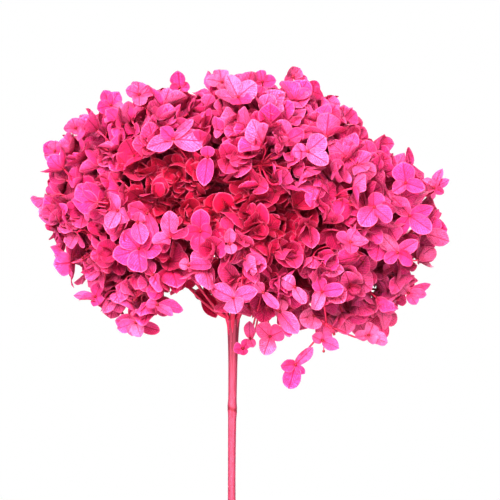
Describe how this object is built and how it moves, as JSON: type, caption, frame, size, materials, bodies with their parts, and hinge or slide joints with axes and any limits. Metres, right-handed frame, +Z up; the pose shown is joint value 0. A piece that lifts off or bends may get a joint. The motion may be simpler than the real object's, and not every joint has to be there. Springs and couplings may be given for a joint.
{
  "type": "preserved hydrangea in a jar",
  "caption": "Dyed and dried hydrangea head on a bare cut stem, standing upright in a plain clear glass jar.",
  "frame": {"origin": "centre of the jar's flat foot", "axes": "+Z up along the jar's axis; -Y is the flower's front; +X is to the right seen from the front, where the stem leans on the rim"},
  "size_m": [0.2432, 0.1983, 0.4072],
  "materials": {
    "glass": "clear, polished",
    "stalk": "dyed woody stem, fine streaks, satin",
    "sepal": "dyed dry sepal, fine veins, matte"
  },
  "bodies": {
    "root": {"jar": "glass", "stem": "stalk", "ray_1": "stalk", "ray_2": "stalk", "ray_3": "stalk", "ray_4": "stalk", "ray_5": "stalk", "ray_6": "stalk", "ray_7": "stalk", "cyme_01": "sepal", "cyme_02": "sepal", "cyme_03": "sepal", "cyme_04": "sepal", "cyme_05": "sepal", "cyme_06": "sepal", "cyme_07": "sepal", "cyme_08": "sepal", "cyme_09": "sepal", "cyme_10": "sepal", "cyme_11": "sepal", "cyme_12": "sepal", "cyme_13": "sepal", "cyme_14": "sepal", "cyme_15": "sepal", "cyme_16": "sepal", "cyme_17": "sepal", "cyme_18": "sepal", "cyme_19": "sepal", "cyme_20": "sepal", "cyme_21": "sepal", "cyme_22": "sepal", "cyme_23": "sepal", "cyme_24": "sepal", "cyme_25": "sepal", "cyme_26": "sepal", "cyme_27": "sepal", "cyme_28": "sepal", "cyme_29": "sepal", "cyme_30": "sepal", "cyme_31": "sepal", "cyme_32": "sepal", "cyme_33": "sepal", "cyme_34": "sepal", "cyme_35": "sepal", "cyme_36": "sepal", "cyme_37": "sepal", "cyme_38": "sepal", "cyme_39": "sepal", "cyme_40": "sepal", "cyme_41": "sepal", "cyme_42": "sepal", "cyme_43": "sepal", "cyme_44": "sepal", "cyme_45": "sepal", "cyme_46": "sepal", "cyme_47": "sepal", "cyme_48": "sepal", "cyme_49": "sepal"}
  },
  "joints": []
}
